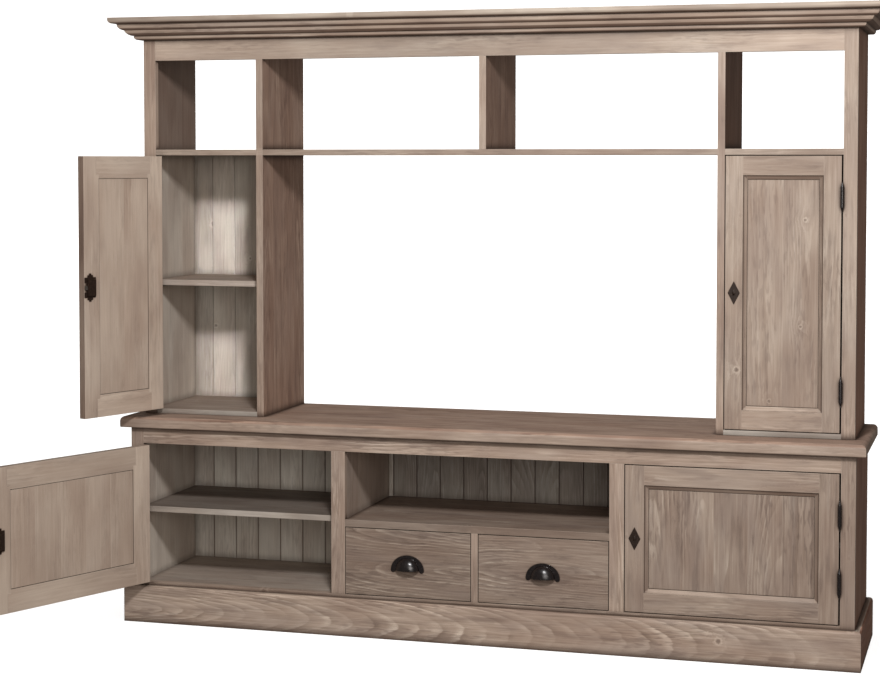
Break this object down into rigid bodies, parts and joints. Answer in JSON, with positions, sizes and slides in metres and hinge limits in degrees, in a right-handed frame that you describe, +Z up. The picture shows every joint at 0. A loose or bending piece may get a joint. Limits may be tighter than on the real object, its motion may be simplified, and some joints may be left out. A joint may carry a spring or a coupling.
{
  "type": "television cabinet",
  "caption": "Weathered pine television wall cabinet: a low base with doors, drawers and a niche under a hutch with a wide open bay, an open row and panelled doors, crown moulding on top.",
  "frame": {"origin": "on the floor, in the middle of the plinth's footprint", "axes": "+X to the cabinet's right as seen from the front, +Y to the back, +Z up"},
  "size_m": [2.532, 1.0571, 1.92],
  "materials": {
    "pine_outside": "matt washed pine",
    "pine_inside": "matt greyed pine",
    "dark_iron": "dark bronzed, satin",
    "steel": "dull steel"
  },
  "bodies": {
    "carcass": {"base_back_boards": "pine_inside", "base_bottom_panel": "pine_inside", "base_bottom_rail": "pine_outside", "base_inner_stiles": "pine_outside", "base_outer_stiles": "pine_outside", "base_partitions": "pine_inside", "base_sides": "pine_inside", "base_top_board": "pine_outside", "base_top_rail": "pine_outside", "bay_shelves": "pine_inside", "cabinet_back_boards": "pine_inside", "cabinet_bottoms": "pine_inside", "cabinet_shelves": "pine_inside", "cornice": "pine_outside", "drawer_divider": "pine_outside", "drawer_runners": "pine_inside", "hinge_frame_leaves": "dark_iron", "hutch_centre_divider": "pine_outside", "hutch_dividers": "pine_outside", "hutch_frieze_rail": "pine_outside", "hutch_middle_shelves": "pine_outside", "hutch_sides": "pine_outside", "hutch_stiles": "pine_outside", "hutch_top_panel": "pine_outside", "niche_shelf": "pine_outside", "plinth_back_rail": "pine_inside", "plinth_centre_rail": "pine_inside", "plinth_front": "pine_outside", "plinth_returns": "pine_outside", "shelf_pins": "steel"},
    "door_upper_left": {"door_upper_left_frame": "pine_outside", "door_upper_left_panel": "pine_outside", "door_upper_left_hinge_leaves": "dark_iron", "door_upper_left_lock": "dark_iron"},
    "bolt_upper_left": {"door_upper_left_bolt": "steel"},
    "door_lower_left": {"door_lower_left_frame": "pine_outside", "door_lower_left_panel": "pine_outside", "door_lower_left_hinge_leaves": "dark_iron", "door_lower_left_lock": "dark_iron"},
    "bolt_lower_left": {"door_lower_left_bolt": "steel"},
    "door_upper_right": {"door_upper_right_frame": "pine_outside", "door_upper_right_panel": "pine_outside", "door_upper_right_hinge_leaves": "dark_iron", "door_upper_right_lock": "dark_iron"},
    "bolt_upper_right": {"door_upper_right_bolt": "steel"},
    "door_lower_right": {"door_lower_right_frame": "pine_outside", "door_lower_right_panel": "pine_outside", "door_lower_right_hinge_leaves": "dark_iron", "door_lower_right_lock": "dark_iron"},
    "bolt_lower_right": {"door_lower_right_bolt": "steel"},
    "drawer_left": {"drawer_left_front": "pine_outside", "drawer_left_box": "pine_inside", "drawer_left_bottom": "pine_inside", "drawer_left_cup_pull": "dark_iron", "drawer_left_pull_screws": "steel"},
    "drawer_right": {"drawer_right_front": "pine_outside", "drawer_right_box": "pine_inside", "drawer_right_bottom": "pine_inside", "drawer_right_cup_pull": "dark_iron", "drawer_right_pull_screws": "steel"}
  },
  "joints": [
    {"name": "door_upper_left_hinge", "type": "hinge", "parent": "carcass", "child": "door_upper_left", "pos_m": [-1.08, -0.138, 1.0777], "axis": [0, 0, 1], "range_deg": [-59.2, 110.8]},
    {"name": "bolt_upper_left_slide", "type": "slide", "parent": "door_upper_left", "child": "bolt_upper_left", "axis": [-0.3551, -0.9348, 0], "range_m": [0, 0.008]},
    {"name": "door_lower_left_hinge", "type": "hinge", "parent": "carcass", "child": "door_lower_left", "pos_m": [-1.0885, -0.226, 0.35], "axis": [0, 0, 1], "range_deg": [-57.4, 112.6]},
    {"name": "bolt_lower_left_slide", "type": "slide", "parent": "door_lower_left", "child": "bolt_lower_left", "axis": [-0.3843, -0.9232, 0], "range_m": [0, 0.008]},
    {"name": "door_upper_right_hinge", "type": "hinge", "parent": "carcass", "child": "door_upper_right", "pos_m": [1.08, -0.138, 1.0777], "axis": [0, 0, 1], "range_deg": [0, 170]},
    {"name": "bolt_upper_right_slide", "type": "slide", "parent": "door_upper_right", "child": "bolt_upper_right", "axis": [-1, 0, 0], "range_m": [0, 0.008]},
    {"name": "door_lower_right_hinge", "type": "hinge", "parent": "carcass", "child": "door_lower_right", "pos_m": [1.0885, -0.226, 0.35], "axis": [0, 0, 1], "range_deg": [0, 170]},
    {"name": "bolt_lower_right_slide", "type": "slide", "parent": "door_lower_right", "child": "bolt_lower_right", "axis": [-1, 0, 0], "range_m": [0, 0.008]},
    {"name": "drawer_left_slide", "type": "slide", "parent": "carcass", "child": "drawer_left", "axis": [0, -1, 0], "range_m": [0, 0.34]},
    {"name": "drawer_right_slide", "type": "slide", "parent": "carcass", "child": "drawer_right", "axis": [0, -1, 0], "range_m": [0, 0.34]}
  ]
}
